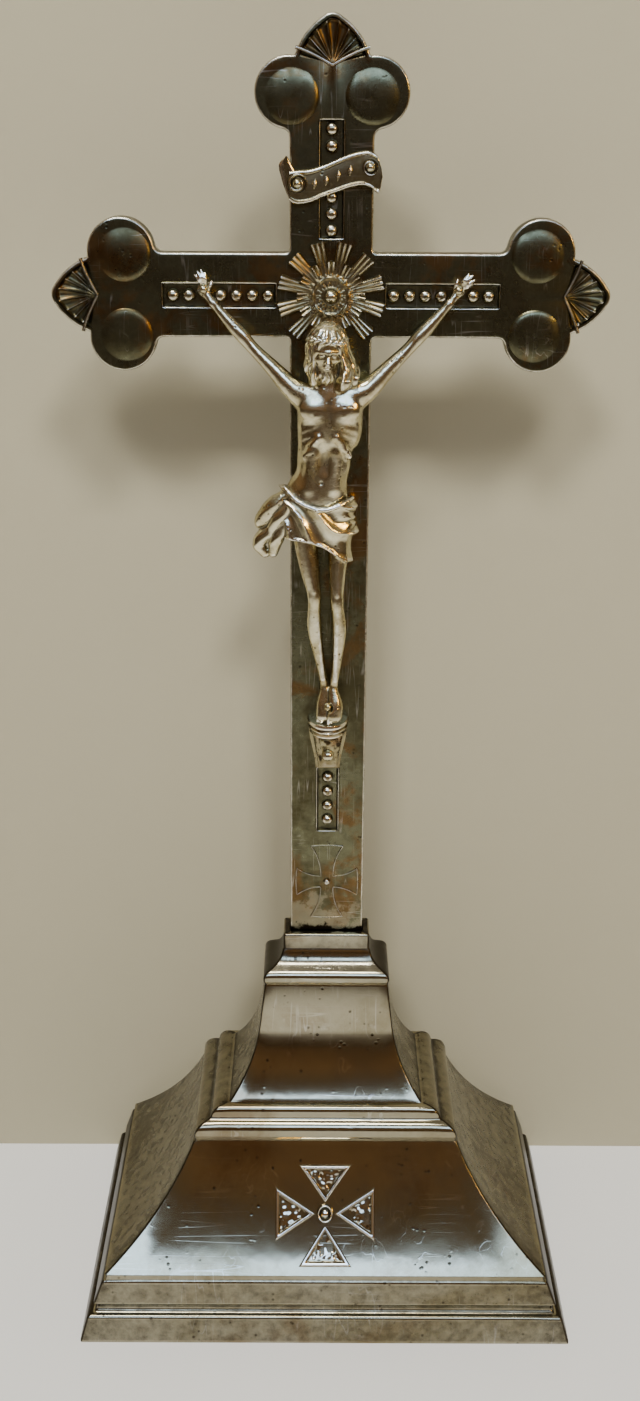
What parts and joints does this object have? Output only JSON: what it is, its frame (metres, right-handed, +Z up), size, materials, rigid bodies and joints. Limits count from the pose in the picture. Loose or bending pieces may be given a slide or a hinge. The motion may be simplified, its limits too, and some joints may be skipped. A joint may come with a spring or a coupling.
{
  "type": "altar cross",
  "caption": "Standing altar crucifix: hollow moulded base, flat cross with lobed ends and beaded channels, sunburst, scroll, small figure and foot bracket.",
  "frame": {"origin": "on the table, under the middle of the base", "axes": "+Z up, the front of the cross faces -Y, +X to the viewer's right"},
  "size_m": [0.121, 0.0776, 0.305],
  "materials": {
    "nickel_base": "worn bright nickel plate",
    "nickel_cross": "tarnished nickel plate",
    "nickel_ornament": "tarnished nickel plate, worn bright on its edges",
    "nickel_figure": "worn bright nickel plate",
    "nickel_pins": "worn nickel plate",
    "steel": "dull plated steel"
  },
  "bodies": {
    "root": {"base_shell": "nickel_base", "cross_plate": "nickel_cross", "mounting_stud": "steel", "mounting_washer": "steel", "mounting_nut": "steel", "scroll_plaque": "nickel_ornament", "scroll_rivets": "nickel_pins", "glory_rays": "nickel_ornament", "glory_rivet": "nickel_pins", "corpus": "nickel_figure", "hand_nails": "nickel_pins", "foot_nail": "nickel_pins", "foot_rest": "nickel_ornament", "foot_rest_rivet": "nickel_pins"}
  },
  "joints": []
}
